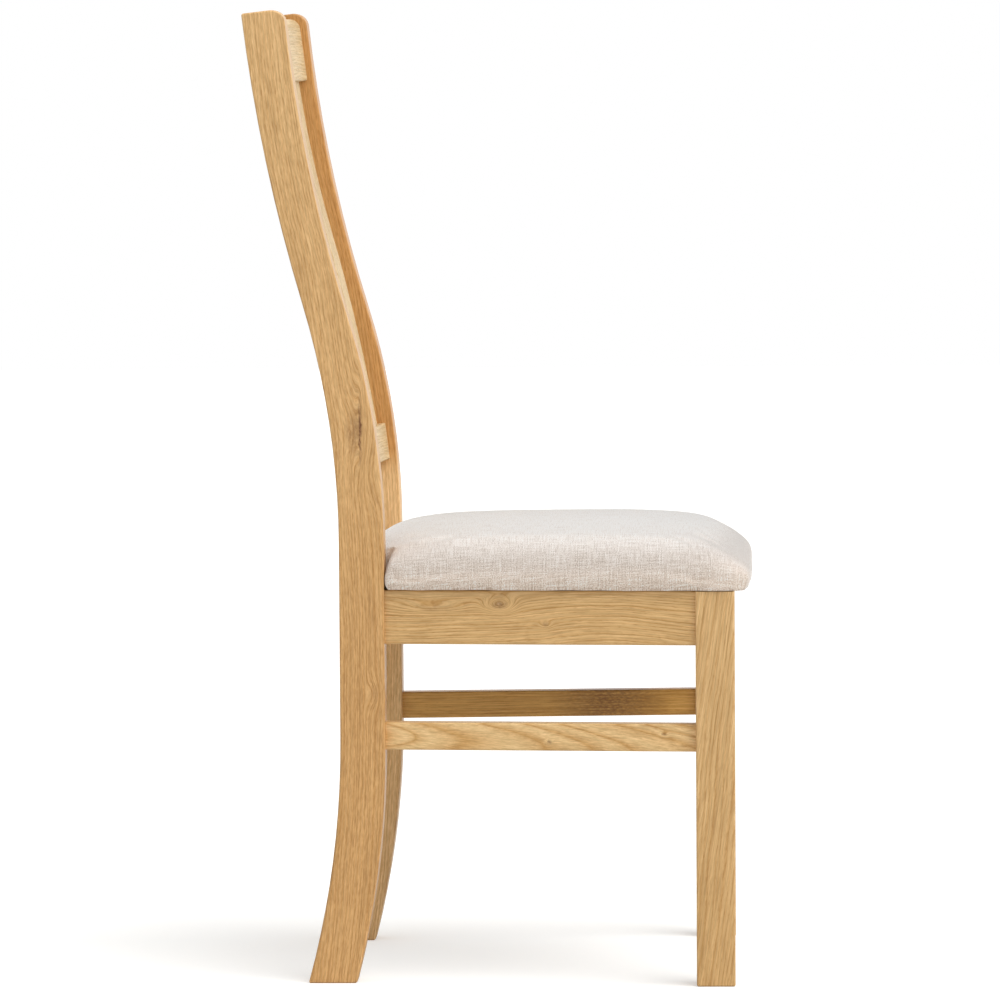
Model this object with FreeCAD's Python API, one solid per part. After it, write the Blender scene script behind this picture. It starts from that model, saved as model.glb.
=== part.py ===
"""Slat back dining chair in solid wood with an upholstered seat, in millimetres.

The frame has +Z up, the sitter faces -Y and the sitter's left is +X. The origin is on the floor,
under the middle of the chair's box.
"""
import FreeCAD
import Part
import math
import os
from collections import namedtuple

V = FreeCAD.Vector
ACROSS = V(1, 0, 0)
UP = V(0, 0, 1)
ORIGIN = V(0, 0, 0)

# Plan of the chair: it is wider in front than at the back
FRONT_WIDTH = 450.0  # over the outer faces of the front legs
REAR_WIDTH = 390.0  # over the outer faces of the rear posts
LEG_FRONT_Y = -256.5  # front face of the front legs
LEG_SIZE = 42.0  # the front legs are square
POST_WIDTH = 40.0  # rear post, seen from the front

# One edge of a post or slat, seen from the side. It is plumb from foot_z to back_z, sweeps back below
# foot_z, leans back above back_z, and bends upright again above turn_z. A slat is only the upper part.
Edge = namedtuple("Edge", "face_y foot_z foot_r back_z back_r turn_z crest_r")
POST_FRONT = Edge(
    face_y=124.0, foot_z=256.0, foot_r=1015.0, back_z=478.0, back_r=846.0, turn_z=726.0, crest_r=1720.0
)
POST_REAR = Edge(
    face_y=173.0, foot_z=268.0, foot_r=1000.0, back_z=480.0, back_r=930.0, turn_z=742.0, crest_r=1880.0
)
SLAT_FRONT = Edge(
    face_y=127.5, foot_z=0.0, foot_r=1000.0, back_z=235.0, back_r=2110.0, turn_z=810.0, crest_r=1348.0
)  # of the middle slat
POST_TOP_REAR_Z = 1056.5  # the top of the post is square to its lean there
POST_TOP_FRONT_RADIUS = 15.0
POST_TOP_REAR_RADIUS = 2.5

# Seat frame
SEAT_FRAME_TOP = 430.0
SEAT_RAIL_HEIGHT = 59.0
SEAT_RAIL_THICKNESS = 22.0
SEAT_RAIL_SETBACK = 6.0  # behind the outer faces of legs and posts
REAR_RAIL_FRONT_Y = 138.0
STRETCHER_BOTTOM = 255.0
STRETCHER_HEIGHT = 30.0
STRETCHER_THICKNESS = 22.0
STRETCHER_SETBACK = 10.0

# Back: hollow towards the sitter. A rail's setback is from the posts' front edge to the rail's ends.
BACK_BOW = 14.0  # how far the middle of a rail lies behind its ends
BACK_RAIL_THICKNESS = 20.0
TOP_RAIL_MIDDLE_Z = 1020.0
TOP_RAIL_HEIGHT = 72.0
TOP_RAIL_SETBACK = 7.5
TOP_RAIL_CREST_RADIUS = 13.0
TOP_RAIL_LEAN = 7.5  # degrees
LOWER_RAIL_MIDDLE_Z = 573.5
LOWER_RAIL_HEIGHT = 42.0
LOWER_RAIL_SETBACK = 9.0
LOWER_RAIL_LEAN = 7.0
SLAT_COUNT = 5
SLAT_WIDTH = 33.0
SLAT_THICKNESS = 12.0

# Joints: tenons are glued into mortises a little larger than themselves
TENON_THICKNESS = 10.0
TENON_LENGTH = 18.0
TENON_ROOT = 3.0  # how deep a cross rail's tenon starts inside the rail
SEAT_TENON_HEIGHT = 40.0
STRETCHER_TENON_HEIGHT = 20.0
TOP_TENON_HEIGHT = 48.0
LOWER_TENON_HEIGHT = 28.0
SLAT_TENON_THICKNESS = 7.0
SLAT_TENON_WIDTH = 25.0
SLAT_TENON_LENGTH = 13.0
GLUE_GAP = 0.1
MORTISE_END_GAP = 1.0

# Eased edges
POST_EASE = 2.0
LEG_EASE = 2.0
RAIL_EASE = 2.0
SLAT_EASE = 2.0
FOOT_CHAMFER = 1.5

# Corner blocks inside the seat frame: two screws go square through the long face into the rails, and
# one goes up into the seat
BLOCK_HEIGHT = 40.0
BLOCK_TOP = 425.0
BLOCK_LEG_GAP = 2.0
BLOCK_ALONG_CROSS_RAIL = 58.0
BLOCK_ALONG_SIDE_RAIL = 54.0
BLOCK_SCREW_SHARES = (0.25, 0.75)  # places along the long face
BLOCK_SCREW_RADIUS = 2.0
BLOCK_SCREW_LENGTH = 40.0
SEAT_SCREW_RADIUS = 2.25
SEAT_SCREW_LENGTH = 55.0
SEAT_SCREW_INSET = 12.0  # behind the long face
SCREW_HEAD_RADIUS = 4.5
SCREW_HEAD_HEIGHT = 2.8
SCREW_SLOT = 1.2  # width and depth
SCREW_CLEARANCE = 0.2

# Seat: the cloth cover is turned in under the plywood board and hangs over the rails a little
SEAT_FRONT_Y = -274.0
SEAT_REAR_Y = 158.0
SEAT_OVERHANG = 12.0  # beyond the outer faces of the side rails
COVER_THICKNESS = 1.5
COVER_PAST_RAILS = 14.0  # the turned-in cloth ends this far inside the rails
FOAM_GAP = 0.3
POST_NOTCH_GAP = 1.0
BOARD_THICKNESS = 12.0
BOARD_SIDE_INSET = 9.0
BOARD_FRONT_INSET = 18.0
BOARD_REAR_INSET = 8.0
BOARD_NOTCH_GAP = 7.0
BOARD_CORNER_RADIUS = 40.0
DUST_COVER_THICKNESS = 0.6
DUST_COVER_RAIL_GAP = 4.0
DUST_COVER_LEG_GAP = 2.0

# The pad's outline across the chair, from front to back: place, height of the crown, height of the
# lower edge before it is trimmed flat on the seat frame, and how much narrower it is than the straight
# line of its side
Station = namedtuple("Station", "y crown_z bottom_z narrower")
PAD_BOTTOM = SEAT_FRAME_TOP - 4.0
PAD_STATIONS = [
    Station(SEAT_FRONT_Y, 453.0, PAD_BOTTOM + 10.0, 26.0),
    Station(-270.0, 464.0, PAD_BOTTOM + 5.0, 15.0),
    Station(-261.0, 476.5, PAD_BOTTOM + 1.0, 7.0),
    Station(-247.0, 486.0, PAD_BOTTOM, 2.0),
    Station(-222.0, 494.5, PAD_BOTTOM, 0.0),
    Station(-180.0, 500.0, PAD_BOTTOM, 0.0),
    Station(-80.0, 502.0, PAD_BOTTOM, 0.0),
    Station(30.0, 500.8, PAD_BOTTOM, 0.0),
    Station(90.0, 496.0, PAD_BOTTOM, 0.0),
    Station(130.0, 484.5, PAD_BOTTOM, 0.0),
    Station(SEAT_REAR_Y, 468.0, PAD_BOTTOM, 0.0),
]
# Each outline bulges at its belly and rounds over to the crown: distance inside the widest line, and
# height as a share of the pad's own height there
Curve = namedtuple("Curve", "inside share")
PAD_LOWER_EDGE = Curve(4.0, 0.0)
PAD_BELLY = Curve(0.0, 0.32)
PAD_SIDE_TOP = Curve(2.4, 0.54)
PAD_ROUND = Curve(15.0, 0.70)
PAD_CROWN_EDGE = Curve(44.0, 0.82)

# Staples: flat wire, a crown with two legs
STAPLE_WIRE = 0.6
STAPLE_WIDTH = 1.2
STAPLE_CROWN = 10.0
STAPLE_LEG_TOP = 438.0
STAPLE_PITCH = 46.0
STAPLE_ROW_MARGIN = 40.0  # from the corners of the seat frame
COVER_STAPLES_PAST_RAILS = 11.0
DUST_STAPLES_PAST_RAILS = 6.5

# Places that follow from the sizes above
LEG_REAR_Y = LEG_FRONT_Y + LEG_SIZE
LEG_CLEAR = FRONT_WIDTH - 2 * LEG_SIZE
POST_CLEAR = REAR_WIDTH - 2 * POST_WIDTH
SIDE_SPLAY = (FRONT_WIDTH - REAR_WIDTH) / 2 / (POST_FRONT.face_y - LEG_REAR_Y)
SEAT_RAIL_BOTTOM = SEAT_FRAME_TOP - SEAT_RAIL_HEIGHT
SEAT_RAIL_MIDDLE = SEAT_FRAME_TOP - SEAT_RAIL_HEIGHT / 2
SEAT_RAIL_INNER = SEAT_RAIL_SETBACK + SEAT_RAIL_THICKNESS
FRONT_RAIL_Y = LEG_FRONT_Y + SEAT_RAIL_SETBACK
FRONT_RAIL_BACK_Y = FRONT_RAIL_Y + SEAT_RAIL_THICKNESS
BACK_RADIUS = (POST_CLEAR**2 / 4 + BACK_BOW**2) / (2 * BACK_BOW)
SLAT_GAP = (POST_CLEAR - SLAT_COUNT * SLAT_WIDTH) / (SLAT_COUNT + 1)
BOARD_BOTTOM = SEAT_FRAME_TOP + COVER_THICKNESS
DUST_COVER_TOP = SEAT_FRAME_TOP - STAPLE_WIRE
DUST_COVER_BOTTOM = DUST_COVER_TOP - DUST_COVER_THICKNESS


def along(edge, z):
    """How far an edge of a post or slat lies back (Y) at a height, and the sine of its lean there."""
    if z < edge.foot_z:
        lean = (z - edge.foot_z) / edge.foot_r
        return edge.face_y + edge.foot_r * (1 - math.sqrt(1 - lean**2)), lean
    lean = (min(max(z, edge.back_z), edge.turn_z) - edge.back_z) / edge.back_r
    y = edge.face_y + edge.back_r * (1 - math.sqrt(1 - lean**2))
    if z > edge.turn_z:
        upper = lean - (z - edge.turn_z) / edge.crest_r
        y += edge.crest_r * (math.sqrt(1 - upper**2) - math.sqrt(1 - lean**2))
        lean = upper
    return y, lean


def offset(edge, depth):
    """The edge that lies depth further back all along, measured square to the curve."""
    lean = (edge.turn_z - edge.back_z) / edge.back_r
    return edge._replace(
        face_y=edge.face_y + depth,
        back_r=edge.back_r - depth,
        turn_z=edge.turn_z - depth * lean,
        crest_r=edge.crest_r + depth,
    )


def on_edge(edge, z):
    return V(0, along(edge, z)[0], z)


def edge_run(edge, low, high):
    """The lines and arcs of an edge between two heights."""
    turns = [z for z in (edge.foot_z, edge.back_z, edge.turn_z) if low < z < high]
    stops = [low] + turns + [high]
    run = []
    for a, b in zip(stops, stops[1:]):
        start, middle, end = (on_edge(edge, z) for z in (a, (a + b) / 2, b))
        plumb = edge.foot_z <= a and b <= edge.back_z
        run.append(Part.LineSegment(start, end) if plumb else Part.Arc(start, middle, end))
    return [curve.toShape() for curve in run]


def plate(edges, way):
    """A closed outline pulled out along a vector."""
    return Part.Face(Part.Wire(Part.__sortEdges__(edges))).extrude(way)


def prism(corners, bottom, top):
    """An upright prism over a plan outline of (x, y) corners."""
    points = [V(x, y, bottom) for x, y in corners]
    return Part.Face(Part.makePolygon(points + points[:1])).extrude(UP * (top - bottom))


def runs_along(edge, axis):
    """True for a straight edge along an axis."""
    if edge.Curve.TypeId != "Part::GeomLine":
        return False
    return abs(abs(edge.tangentAt(edge.FirstParameter).dot(axis)) - 1) < 1e-6


def eased(solid, radius, chosen):
    """The solid with the chosen edges rounded."""
    return solid.makeFillet(radius, [edge for edge in solid.Edges if chosen(edge)])


def foot_eased(solid):
    """A leg or post with the edges under its foot chamfered."""
    return solid.makeChamfer(FOOT_CHAMFER, [edge for edge in solid.Edges if edge.BoundBox.ZMax < FOOT_CHAMFER])


def sides(solid):
    """The right-hand piece and its mirror image on the left."""
    return {"right": solid, "left": solid.mirror(ORIGIN, ACROSS)}


def both_sides(solid):
    return Part.makeCompound(list(sides(solid).values()))


# Rear posts: sawn to one curved outline from the floor to the crest


def make_post():
    rear_top = on_edge(POST_REAR, POST_TOP_REAR_Z)
    slope = math.tan(math.asin(along(POST_REAR, POST_TOP_REAR_Z)[1]))
    front_top = rear_top
    # The square top line meets the front edge here; each pass comes closer to that point
    for _ in range(8):
        front_top = on_edge(POST_FRONT, rear_top.z + (rear_top.y - front_top.y) * slope)
    outline = edge_run(POST_REAR, 0, rear_top.z) + edge_run(POST_FRONT, 0, front_top.z)
    outline.append(Part.LineSegment(rear_top, front_top).toShape())
    outline.append(Part.LineSegment(on_edge(POST_FRONT, 0), on_edge(POST_REAR, 0)).toShape())
    post = plate(outline, ACROSS * POST_WIDTH)
    for corner, radius in ((front_top, POST_TOP_FRONT_RADIUS), (rear_top, POST_TOP_REAR_RADIUS)):
        near = V(POST_WIDTH / 2, corner.y, corner.z)
        post = eased(post, radius, lambda e: runs_along(e, ACROSS) and e.CenterOfMass.distanceToPoint(near) < 1)
    post = eased(post, POST_EASE, lambda e: not runs_along(e, ACROSS) and e.BoundBox.ZMax > POST_EASE)
    return foot_eased(post).translate(V(-REAR_WIDTH / 2, 0, 0))


# Front legs: straight and square, with their tops level with the seat frame


def make_leg():
    leg = Part.makeBox(LEG_SIZE, LEG_SIZE, SEAT_FRAME_TOP, V(-FRONT_WIDTH / 2, LEG_FRONT_Y, 0))
    return foot_eased(eased(leg, LEG_EASE, lambda e: runs_along(e, UP)))


# Side rails and stretchers: they run from leg to post, nearer the middle at the back

SideBar = namedtuple("SideBar", "setback thickness bottom height tenon_height")
SIDE_BARS = {
    "side_rail": SideBar(
        SEAT_RAIL_SETBACK, SEAT_RAIL_THICKNESS, SEAT_RAIL_BOTTOM, SEAT_RAIL_HEIGHT, SEAT_TENON_HEIGHT
    ),
    "side_stretcher": SideBar(
        STRETCHER_SETBACK, STRETCHER_THICKNESS, STRETCHER_BOTTOM, STRETCHER_HEIGHT, STRETCHER_TENON_HEIGHT
    ),
}


def side_x(y, inward):
    """X of the right side's line, a distance inside the outer faces of leg and post."""
    return inward - FRONT_WIDTH / 2 + (y - LEG_REAR_Y) * SIDE_SPLAY


def side_plan(front, rear, outer, inner):
    """Plan corners of what lies along the right side, between two distances inside the outer faces."""
    corners = ((front, outer), (rear, outer), (rear, inner), (front, inner))
    return [(side_x(y, inward), y) for y, inward in corners]


def side_tenons(bar, gap, end_gap):
    """The bar whose ends are the tenons of a side rail or stretcher, or with gaps their mortises."""
    reach = TENON_LENGTH + end_gap
    outer = bar.setback + (bar.thickness - TENON_THICKNESS) / 2 - gap
    plan = side_plan(LEG_REAR_Y - reach, POST_FRONT.face_y + reach, outer, outer + TENON_THICKNESS + 2 * gap)
    bottom = bar.bottom + (bar.height - bar.tenon_height) / 2 - gap
    return prism(plan, bottom, bottom + bar.tenon_height + 2 * gap)


def make_side_bar(bar):
    plan = side_plan(LEG_REAR_Y, POST_FRONT.face_y, bar.setback, bar.setback + bar.thickness)
    solid = prism(plan, bar.bottom, bar.bottom + bar.height)
    solid = eased(solid, RAIL_EASE, lambda e: e.BoundBox.YLength > bar.height)
    return solid.fuse(side_tenons(bar, 0, 0)).removeSplitter()


# Cross rails: straight front and rear rails of the seat, and the two curved rails of the back, which lean
# with the posts. The front of a rail is given at its ends.

CrossRail = namedtuple("CrossRail", "clear front_y thickness middle_z height lean tenon_height")


def seat_cross_rail(clear, front_y):
    return CrossRail(
        clear, front_y, SEAT_RAIL_THICKNESS, SEAT_RAIL_MIDDLE, SEAT_RAIL_HEIGHT, 0.0, SEAT_TENON_HEIGHT
    )


def back_rail(setback, middle_z, height, lean, tenon_height):
    front_y = along(POST_FRONT, middle_z)[0] + setback
    return CrossRail(POST_CLEAR, front_y, BACK_RAIL_THICKNESS, middle_z, height, lean, tenon_height)


FRONT_RAIL = seat_cross_rail(LEG_CLEAR, FRONT_RAIL_Y)
REAR_RAIL = seat_cross_rail(POST_CLEAR, REAR_RAIL_FRONT_Y)
TOP_RAIL = back_rail(TOP_RAIL_SETBACK, TOP_RAIL_MIDDLE_Z, TOP_RAIL_HEIGHT, TOP_RAIL_LEAN, TOP_TENON_HEIGHT)
LOWER_RAIL = back_rail(
    LOWER_RAIL_SETBACK, LOWER_RAIL_MIDDLE_Z, LOWER_RAIL_HEIGHT, LOWER_RAIL_LEAN, LOWER_TENON_HEIGHT
)


def leaned(solid, rail):
    """Turns what was made upright about the middle of a rail's front face, to the rail's lean."""
    return solid.rotate(V(0, rail.front_y, rail.middle_z), ACROSS, -rail.lean)


def cross_tenons(rail, gap, end_gap):
    """Both tenons of a cross rail, or with gaps their mortises."""
    length = TENON_ROOT + TENON_LENGTH + end_gap
    thickness = TENON_THICKNESS + 2 * gap
    height = rail.tenon_height + 2 * gap
    corner = V(
        TENON_ROOT - rail.clear / 2 - length,
        rail.front_y + (rail.thickness - thickness) / 2,
        rail.middle_z - height / 2,
    )
    return leaned(both_sides(Part.makeBox(length, thickness, height, corner)), rail)


def make_seat_rail(rail):
    corner = V(-rail.clear / 2, rail.front_y, rail.middle_z - rail.height / 2)
    solid = Part.makeBox(rail.clear, rail.thickness, rail.height, corner)
    solid = eased(solid, RAIL_EASE, lambda e: runs_along(e, ACROSS))
    return solid.fuse(cross_tenons(rail, 0, 0)).removeSplitter()


def make_back_rail(rail, crest_radius):
    """A board sawn to the curve of the back, its upper front edge rounded by crest_radius."""
    half, bottom = rail.clear / 2, rail.middle_z - rail.height / 2
    outline, ends = [], []
    for depth in (0, rail.thickness):
        radius = BACK_RADIUS + depth
        middle = V(0, rail.front_y + BACK_BOW + depth, bottom)
        end_y = middle.y - radius + math.sqrt(radius**2 - half**2)
        ends.append((V(-half, end_y, bottom), V(half, end_y, bottom)))
        outline.append(Part.Arc(ends[-1][0], middle, ends[-1][1]).toShape())
    outline += [Part.LineSegment(front, rear).toShape() for front, rear in zip(*ends)]
    board = plate(outline, UP * rail.height)

    def is_crest(edge):
        in_front = edge.BoundBox.YMax < rail.front_y + BACK_BOW + rail.thickness / 2
        return in_front and edge.BoundBox.ZMin > rail.middle_z

    board = eased(board, RAIL_EASE, lambda e: e.BoundBox.XLength > half and not is_crest(e))
    board = eased(board, crest_radius, lambda e: e.BoundBox.XLength > half and is_crest(e))
    return leaned(board, rail).fuse(cross_tenons(rail, 0, 0)).removeSplitter()


# Slats: sawn to a gentle S and tenoned between the two rails of the back, each turned to the curve


def slat_band(front_edge, thickness, width, low, high):
    """A curved strip of even thickness between two heights of its front edge."""
    rear_edge = offset(front_edge, thickness)
    ends = [(z, z - thickness * along(front_edge, z)[1]) for z in (low, high)]
    outline = edge_run(front_edge, low, high) + edge_run(rear_edge, ends[0][1], ends[1][1])
    for front_z, rear_z in ends:
        outline.append(Part.LineSegment(on_edge(front_edge, front_z), on_edge(rear_edge, rear_z)).toShape())
    return plate(outline, ACROSS * width).translate(V(-width / 2, 0, 0))


def slat_tenons(gap, end_gap):
    """The thinner strip whose ends are a slat's tenons, or with gaps their mortises."""
    inset = (SLAT_THICKNESS - SLAT_TENON_THICKNESS) / 2 - gap
    reach = SLAT_TENON_LENGTH + end_gap
    return slat_band(
        offset(SLAT_FRONT, inset),
        SLAT_TENON_THICKNESS + 2 * gap,
        SLAT_TENON_WIDTH + 2 * gap,
        LOWER_RAIL_MIDDLE_Z + LOWER_RAIL_HEIGHT / 2 - reach,
        TOP_RAIL_MIDDLE_Z - TOP_RAIL_HEIGHT / 2 + reach,
    )


def between_back_rails():
    """All the room above the lower rail's top face and below the top rail's bottom face."""
    size = POST_TOP_REAR_Z
    low = LOWER_RAIL.middle_z + LOWER_RAIL.height / 2
    high = TOP_RAIL.middle_z - TOP_RAIL.height / 2
    above = Part.makeBox(2 * size, 2 * size, size, V(-size, -size, low))
    below = Part.makeBox(2 * size, 2 * size, size, V(-size, -size, high - size))
    return leaned(above, LOWER_RAIL).common(leaned(below, TOP_RAIL))


def on_back_curve(solid, x):
    """What was made for the middle of the back, moved along its curve and turned with it."""
    low, high = (on_edge(SLAT_FRONT, z) for z in (LOWER_RAIL_MIDDLE_Z, TOP_RAIL_MIDDLE_Z))
    turned = solid.rotate(low, high - low, -math.degrees(math.asin(x / BACK_RADIUS)))
    return turned.translate(V(x, math.sqrt(BACK_RADIUS**2 - x**2) - BACK_RADIUS, 0))


def make_slat(x):
    slat = slat_band(SLAT_FRONT, SLAT_THICKNESS, SLAT_WIDTH, LOWER_RAIL_MIDDLE_Z, TOP_RAIL_MIDDLE_Z)
    slat = eased(slat, SLAT_EASE, lambda e: e.BoundBox.ZLength > SLAT_THICKNESS)
    slat = on_back_curve(slat, x).common(between_back_rails())
    return slat.fuse(on_back_curve(slat_tenons(0, 0), x)).removeSplitter()


# Corner blocks: glued into the corners of the seat frame and notched round the legs


def block_plan(leg_x, leg_y, cross_rail_y, way):
    """Plan corners of a right-hand block; way is +1 in front and -1 at the back.

    The second corner is the one by the leg, and the last two are the ends of the long face.
    """
    x = leg_x + BLOCK_LEG_GAP
    y = leg_y + way * BLOCK_LEG_GAP
    side_end = y + way * BLOCK_ALONG_SIDE_RAIL
    return [
        (x, cross_rail_y),
        (x, y),
        (side_x(y, SEAT_RAIL_INNER), y),
        (side_x(side_end, SEAT_RAIL_INNER), side_end),
        (x + BLOCK_ALONG_CROSS_RAIL, cross_rail_y),
    ]


BLOCK_PLANS = {
    "front": block_plan(-LEG_CLEAR / 2, LEG_REAR_Y, FRONT_RAIL_BACK_Y, 1),
    "rear": block_plan(-POST_CLEAR / 2, POST_FRONT.face_y, REAR_RAIL_FRONT_Y, -1),
}


def long_face(plan):
    """Ends of a block's long face at half its height, and the direction square to it, into the block."""
    start, end, by_leg = (V(x, y, BLOCK_TOP - BLOCK_HEIGHT / 2) for x, y in (plan[3], plan[4], plan[1]))
    face = end - start
    inward = by_leg - start
    return start, end, (inward - face * (inward.dot(face) / face.dot(face))).normalize()


def screw_hole(radius, length):
    """The shaft of a screw that points up from the origin, with clearance."""
    return screw_shaft(radius, length, SCREW_CLEARANCE)


def screw_shaft(radius, length, clearance):
    shank = Part.makeCylinder(radius + clearance, length - radius)
    point = Part.makeCone(radius + clearance, radius / 4 + clearance, radius, UP * (length - radius))
    return shank.fuse(point)


def make_screw(radius, length):
    """A slotted pan-head screw that points up, the seat of its head at the origin."""
    head = Part.makeCylinder(SCREW_HEAD_RADIUS, SCREW_HEAD_HEIGHT, UP * -SCREW_HEAD_HEIGHT)
    crown = -SCREW_HEAD_HEIGHT / 2
    head = eased(head, SCREW_HEAD_HEIGHT / 2, lambda e: e.Closed and e.BoundBox.ZMax < crown)
    slot_corner = V(-SCREW_HEAD_RADIUS, -SCREW_SLOT / 2, -SCREW_HEAD_HEIGHT)
    slot = Part.makeBox(2 * SCREW_HEAD_RADIUS, SCREW_SLOT, SCREW_SLOT, slot_corner)
    return screw_shaft(radius, length, 0).fuse(head).cut(slot).removeSplitter()


def block_fixings(plan, make, radius, length):
    """Screws, or their holes, that go square through a block's long face."""
    start, end, inward = long_face(plan)
    turn = FreeCAD.Rotation(UP, inward)
    fixings = []
    for share in BLOCK_SCREW_SHARES:
        fixing = make(radius, length).rotate(ORIGIN, turn.Axis, math.degrees(turn.Angle))
        fixings.append(fixing.translate(start + (end - start) * share))
    return fixings


def seat_fixing(plan, make, radius, length):
    """A screw, or its hole, that goes up through a block into the seat board."""
    start, end, inward = long_face(plan)
    place = (start + end) * 0.5 + inward * SEAT_SCREW_INSET
    return make(radius, length).translate(V(place.x, place.y, BLOCK_TOP - BLOCK_HEIGHT))


# Seat pad: one crowned form, drawn in at its lower edge and notched round the posts


def pad_section(station, inset):
    """One outline across the pad, smaller by inset all round."""
    half = -side_x(station.y, SEAT_RAIL_SETBACK - SEAT_OVERHANG) - station.narrower - inset
    bottom = station.bottom_z + inset
    height = station.crown_z - inset - bottom
    right = [
        V(half - curve.inside, station.y, bottom + curve.share * height)
        for curve in (PAD_LOWER_EDGE, PAD_BELLY, PAD_SIDE_TOP, PAD_ROUND, PAD_CROWN_EDGE)
    ]
    left = [V(-p.x, p.y, p.z) for p in right]
    edges = [
        Part.LineSegment(left[0], right[0]),
        Part.Arc(right[0], right[1], right[2]),
        Part.Arc(right[2], right[3], right[4]),
        Part.Arc(right[4], V(0, station.y, bottom + height), left[4]),
        Part.Arc(left[4], left[3], left[2]),
        Part.Arc(left[2], left[1], left[0]),
    ]
    return Part.Wire([edge.toShape() for edge in edges])


def post_notches(gap):
    """Blocks that cut the seat away round both posts."""
    size = REAR_WIDTH
    corner = V(-POST_CLEAR / 2 + gap - size, POST_FRONT.face_y - gap, SEAT_FRAME_TOP / 2)
    return both_sides(Part.makeBox(size, size, size, corner))


def make_pad(inset):
    """The whole soft seat, or with an inset what lies inside it."""
    stations = list(PAD_STATIONS)
    stations[0] = stations[0]._replace(y=SEAT_FRONT_Y + inset)
    stations[-1] = stations[-1]._replace(y=SEAT_REAR_Y - inset)
    pad = Part.makeLoft([pad_section(station, inset) for station in stations], True, False)
    size = 2 * FRONT_WIDTH
    below = Part.makeBox(size, size, SEAT_FRAME_TOP + inset, V(-size / 2, -size / 2, 0))
    return pad.cut(post_notches(POST_NOTCH_GAP + inset)).cut(below)


def across(right):
    """A plan outline from its right-hand corners, front to back, and their mirror images."""
    return right + [(-x, y) for x, y in reversed(right)]


def inside_rails(inward):
    """Plan corners of the opening between the seat rails, smaller by inward."""
    front, rear = FRONT_RAIL_BACK_Y + inward, REAR_RAIL_FRONT_Y - inward
    return across([(side_x(y, SEAT_RAIL_INNER + inward), y) for y in (front, rear)])


def make_cover():
    opening = prism(inside_rails(COVER_PAST_RAILS), SEAT_FRAME_TOP, BOARD_BOTTOM)
    return make_pad(0).cut(make_pad(COVER_THICKNESS)).cut(opening)


def make_board():
    front, rear = SEAT_FRONT_Y + BOARD_FRONT_INSET, SEAT_REAR_Y - BOARD_REAR_INSET
    inward = SEAT_RAIL_SETBACK - SEAT_OVERHANG + BOARD_SIDE_INSET
    plan = across([(side_x(y, inward), y) for y in (front, rear)])
    board = prism(plan, BOARD_BOTTOM, BOARD_BOTTOM + BOARD_THICKNESS)
    board = eased(board, BOARD_CORNER_RADIUS, lambda e: runs_along(e, UP) and e.CenterOfMass.y < 0)
    return board.cut(post_notches(BOARD_NOTCH_GAP))


def make_dust_cover():
    cloth = prism(inside_rails(DUST_COVER_RAIL_GAP), DUST_COVER_BOTTOM, DUST_COVER_TOP)
    room = LEG_SIZE + DUST_COVER_LEG_GAP
    leg_room = Part.makeBox(room, room, SEAT_FRAME_TOP, V(-FRONT_WIDTH / 2, LEG_FRONT_Y, 0))
    return cloth.cut(both_sides(leg_room)).cut(post_notches(DUST_COVER_LEG_GAP))


# Staples: a row inside each seat rail for the cover, and one for the dust cloth below it


def make_staple(crown_top):
    """A staple under the origin, its crown along X and its legs pointing up."""
    corner = V(-STAPLE_CROWN / 2, -STAPLE_WIDTH / 2, crown_top)
    crown = Part.makeBox(STAPLE_CROWN, STAPLE_WIDTH, STAPLE_WIRE, corner - UP * STAPLE_WIRE)
    legs = [
        Part.makeBox(STAPLE_WIRE, STAPLE_WIDTH, STAPLE_LEG_TOP - crown_top, corner + ACROSS * x)
        for x in (0, STAPLE_CROWN - STAPLE_WIRE)
    ]
    return crown.multiFuse(legs).removeSplitter()


def staple_rows(crown_top, past_rails):
    """Staples evenly along the four sides of the seat frame's opening."""
    corners = [V(x, y, 0) for x, y in inside_rails(past_rails)]
    staples = []
    for a, b in zip(corners, corners[1:] + corners[:1]):
        way = (b - a).normalize()
        length = (b - a).Length - 2 * STAPLE_ROW_MARGIN
        steps = round(length / STAPLE_PITCH)
        angle = math.degrees(math.atan2(way.y, way.x))
        for i in range(steps + 1):
            place = a + way * (STAPLE_ROW_MARGIN + length * i / steps)
            staples.append(make_staple(crown_top).rotate(ORIGIN, UP, angle).translate(place))
    return staples


# Assembly: every mortise and screw hole is cut where its piece goes

pairs = {"rear_post": make_post(), "front_leg": make_leg()}
pairs.update({name: make_side_bar(bar) for name, bar in SIDE_BARS.items()})
nodes = {
    "front_rail": make_seat_rail(FRONT_RAIL),
    "rear_rail": make_seat_rail(REAR_RAIL),
    "top_rail": make_back_rail(TOP_RAIL, TOP_RAIL_CREST_RADIUS),
    "lower_back_rail": make_back_rail(LOWER_RAIL, RAIL_EASE),
}

side_mortises = [side_tenons(bar, GLUE_GAP, MORTISE_END_GAP) for bar in SIDE_BARS.values()]
front_mortises = cross_tenons(FRONT_RAIL, GLUE_GAP, MORTISE_END_GAP)
rear_mortises = [cross_tenons(rail, GLUE_GAP, MORTISE_END_GAP) for rail in (REAR_RAIL, LOWER_RAIL, TOP_RAIL)]
pairs["front_leg"] = pairs["front_leg"].cut(side_mortises + [front_mortises])
pairs["rear_post"] = pairs["rear_post"].cut(side_mortises + rear_mortises)

slat_mortises = []
for i in range(SLAT_COUNT):
    x = -POST_CLEAR / 2 + SLAT_GAP + SLAT_WIDTH / 2 + i * (SLAT_WIDTH + SLAT_GAP)
    nodes[f"back_slat_{i + 1}"] = make_slat(x)
    slat_mortises.append(on_back_curve(slat_tenons(GLUE_GAP, MORTISE_END_GAP), x))
for name in ("top_rail", "lower_back_rail"):
    nodes[name] = nodes[name].cut(slat_mortises)

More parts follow.
